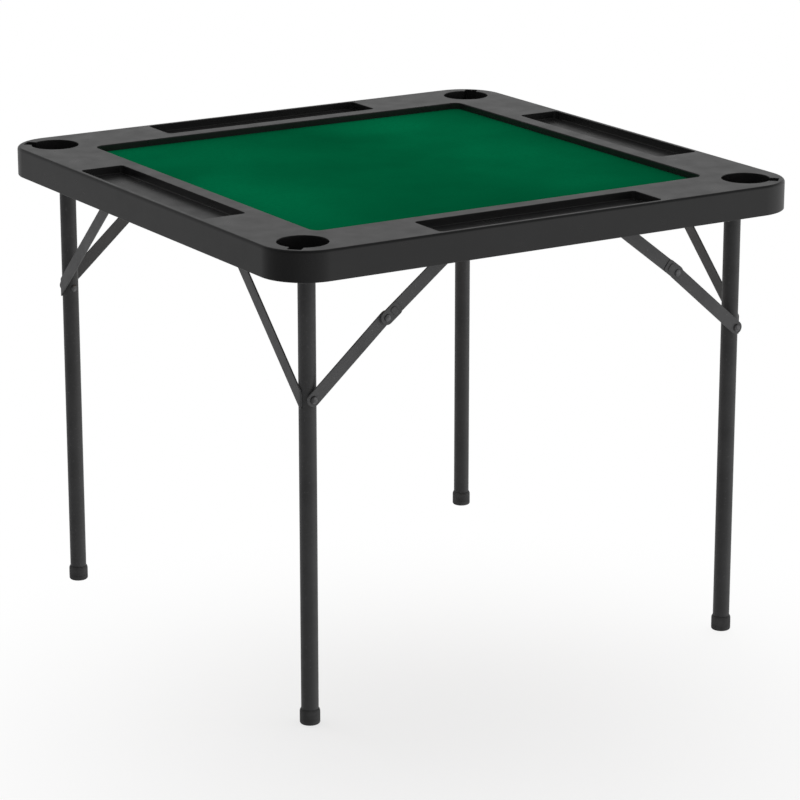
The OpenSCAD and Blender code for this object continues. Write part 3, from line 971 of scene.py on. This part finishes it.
def part_along(tree, direction, axis):
    """How far the direction runs along an axis."""
    made = tree.nodes.new("ShaderNodeVectorMath")
    made.operation = "DOT_PRODUCT"
    tree.links.new(direction, made.inputs[0])
    made.inputs[1].default_value = axis
    return made.outputs["Value"]


def studio_world():
    """A white backdrop, a room with a dark side to reflect, and a sky brightest at the back."""
    world = bpy.data.worlds.new("studio")
    bpy.context.scene.world = world
    world.use_nodes = True
    tree = world.node_tree
    direction = tree.nodes.new("ShaderNodeTexCoord").outputs["Generated"]
    rays = tree.nodes.new("ShaderNodeLightPath")
    depth = part_along(tree, direction, AWAY)
    turn = maths(tree, "ARCTAN2", part_along(tree, direction, -ACROSS), depth)
    part_turn = maths(tree, "FRACT", maths(tree, "DIVIDE", turn, 2 * math.pi))
    height_level = ramp(tree, part_along(tree, direction, Z), ROOM_UP)
    room = maths(tree, "MULTIPLY", ramp(tree, part_turn, ROOM_TURN), height_level)
    half_depth = maths(tree, "MULTIPLY_ADD", depth, 0.5)
    half_depth.node.inputs[2].default_value = 0.5
    sky = maths(tree, "MULTIPLY", ramp(tree, half_depth, SKY), SKY_GAIN)
    lit = maths(tree, "MULTIPLY", sky, rays.outputs["Is Diffuse Ray"])
    seen = maths(tree, "MULTIPLY", room, maths(tree, "SUBTRACT", 1.0, rays.outputs["Is Diffuse Ray"]))
    light = tree.nodes["Background"]
    light.inputs["Color"].default_value = (1, 1, 1, 1)
    tree.links.new(maths(tree, "ADD", lit, seen), light.inputs["Strength"])
    backdrop = tree.nodes.new("ShaderNodeBackground")
    backdrop.inputs["Color"].default_value = (1, 1, 1, 1)
    backdrop.inputs["Strength"].default_value = BACKDROP
    mix = tree.nodes.new("ShaderNodeMixShader")
    tree.links.new(rays.outputs["Is Camera Ray"], mix.inputs[0])
    tree.links.new(light.outputs["Background"], mix.inputs[1])
    tree.links.new(backdrop.outputs["Background"], mix.inputs[2])
    tree.links.new(mix.outputs["Shader"], tree.nodes["World Output"].inputs["Surface"])


def make_overhead():
    """A big soft lamp overhead and a little behind, as for a product picture."""
    data = bpy.data.lights.new("overhead", "AREA")
    data.shape = "RECTANGLE"
    data.size = OVERHEAD_SIDE
    data.size_y = OVERHEAD_SIDE
    data.energy = OVERHEAD_W
    lamp = link_new("overhead", data)
    lamp.location = OVERHEAD_AT
    lamp.rotation_mode = "QUATERNION"
    lamp.rotation_quaternion = facing(OVERHEAD_AIM - OVERHEAD_AT)
    lamp.visible_camera = False
    lamp.visible_glossy = False


# --- the whole ---

make_camera()
bpy.context.scene.view_settings.view_transform = "Standard"

MATERIALS = {
    "rim_plastic": moulded_plastic(),
    "felt": felt_cloth(),
    "board": fibreboard(),
    "steel_tube": powder_coat("tube coat", 0.034, 0.044, 0.36),
    "steel_bar": powder_coat("bar coat", 0.060, 0.078, 0.42),
    "lock_plate": powder_coat("plate coat", 0.050, 0.075, 0.34),
    "rubber": rubber(),
    "zinc": dark_zinc(),
}

for part in frame["record"]["subparts"]:
    mesh = frame["nodes"][part["node"]].data
    mesh.materials.clear()
    mesh.materials.append(MATERIALS[part["material_slot"]])

rim_piece = piece("moulded_rim", rim_mesh(), "top", "rim_plastic", ["rim_frame"], 30)
felt_data, felt_side = felt_mesh()
felt_piece = piece("felt_sheet", felt_data, "top", "felt", ["felt_cloth"], 50)

for side in SIDES:
    body = f"{side}_frame"
    piece(f"crossbar_tube_{side}", crossbar_mesh(side), body, "steel_tube", [f"crossbar_{side}"])
    piece(f"strut_welds_{side}", strut_welds_mesh(side), body, "steel_bar")
    piece(f"brace_rivets_{side}", leg_rivets_mesh(side), body, "zinc", [f"leg_rivets_{side}"])

for side, end in CORNERS:
    body = f"{side}_frame"
    corner = f"{side}_{end}"
    piece(f"leg_tube_{corner}", leg_mesh(side, end), body, "steel_tube", [f"leg_{corner}"])
    piece(f"weld_{corner}", crossbar_weld(side, end), body, "steel_tube")
    piece(f"foot_cap_{corner}", foot_mesh(side, end), body, "rubber", [f"foot_{corner}"])
    piece(f"strut_bar_{corner}", strut_mesh(side, end), body, "steel_bar", [f"strut_{corner}"])
    lower, upper = f"lower_{corner}", f"upper_{corner}"
    piece(f"lower_bar_{corner}", link_mesh(side, end, "lower"), lower, "steel_bar", [f"lower_link_{corner}"])
    piece(f"upper_bar_{corner}", link_mesh(side, end, "upper"), upper, "steel_bar", [f"upper_link_{corner}"])
    piece(f"knee_head_{corner}", knee_rivet_mesh(side, end), lower, "zinc", [f"knee_rivet_{corner}"])
    piece(f"stop_plate_{corner}", knee_plate_mesh(side, end), upper, "lock_plate", [f"knee_plate_{corner}"])
    piece(f"knee_dome_{corner}", knee_dome_mesh(side, end), upper, "zinc")

make_floor()
studio_world()
make_overhead()
